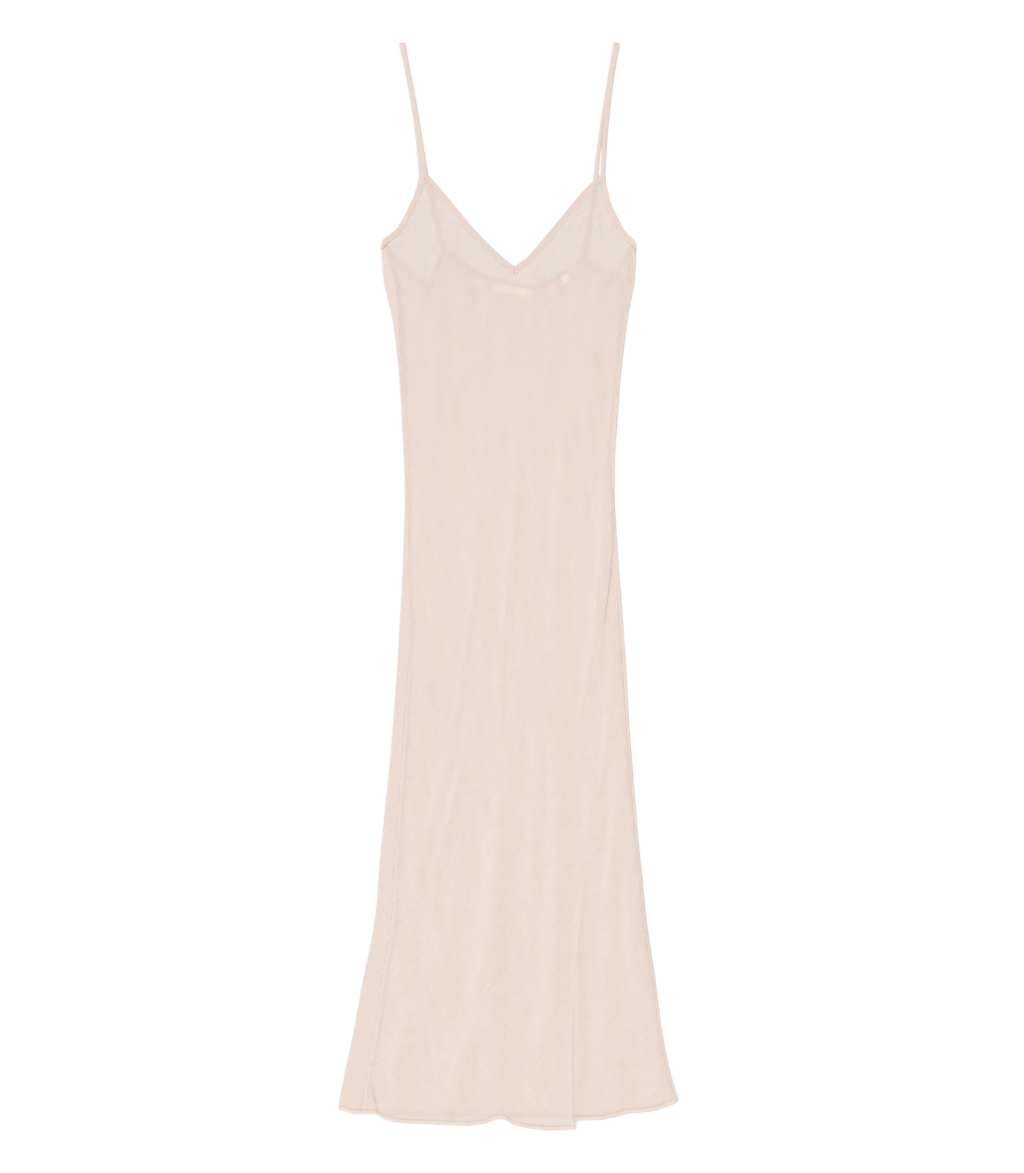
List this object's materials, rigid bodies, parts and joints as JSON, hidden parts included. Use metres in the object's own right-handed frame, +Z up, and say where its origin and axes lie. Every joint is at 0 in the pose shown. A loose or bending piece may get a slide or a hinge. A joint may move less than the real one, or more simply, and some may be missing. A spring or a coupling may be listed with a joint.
{
  "type": "slip dress laid flat",
  "caption": "Long bias-cut slip dress lying flat, with a V neck, a low scooped back, bound edges and thin straps joined to the back by rings.",
  "frame": {"origin": "on the surface that the dress lies on, below the middle of its outline", "axes": "+X across the dress to the right as seen from above, +Y from the hem to the straps, +Z up from the surface, with the front of the dress on top"},
  "size_m": [0.4427, 1.4148, 0.0059],
  "materials": {
    "cloth": "sheer crinkled silk crepe, pale blush",
    "trim": "the same silk, doubled and rolled, satin",
    "ring": "clear nude plastic",
    "label": "woven cream tape, bare"
  },
  "bodies": {
    "root": {"front_panel": "cloth", "back_panel": "cloth", "front_hem": "trim", "back_hem": "trim", "neck_binding_left": "trim", "neck_binding_right": "trim", "front_armhole_binding_left": "trim", "front_armhole_binding_right": "trim", "back_armhole_binding_left": "trim", "back_armhole_binding_right": "trim", "back_neck_binding": "trim", "strap_left": "trim", "strap_right": "trim", "back_tab_left": "trim", "back_tab_right": "trim", "strap_ring_left": "ring", "strap_ring_right": "ring", "neck_label": "label", "size_label": "label"}
  },
  "joints": []
}
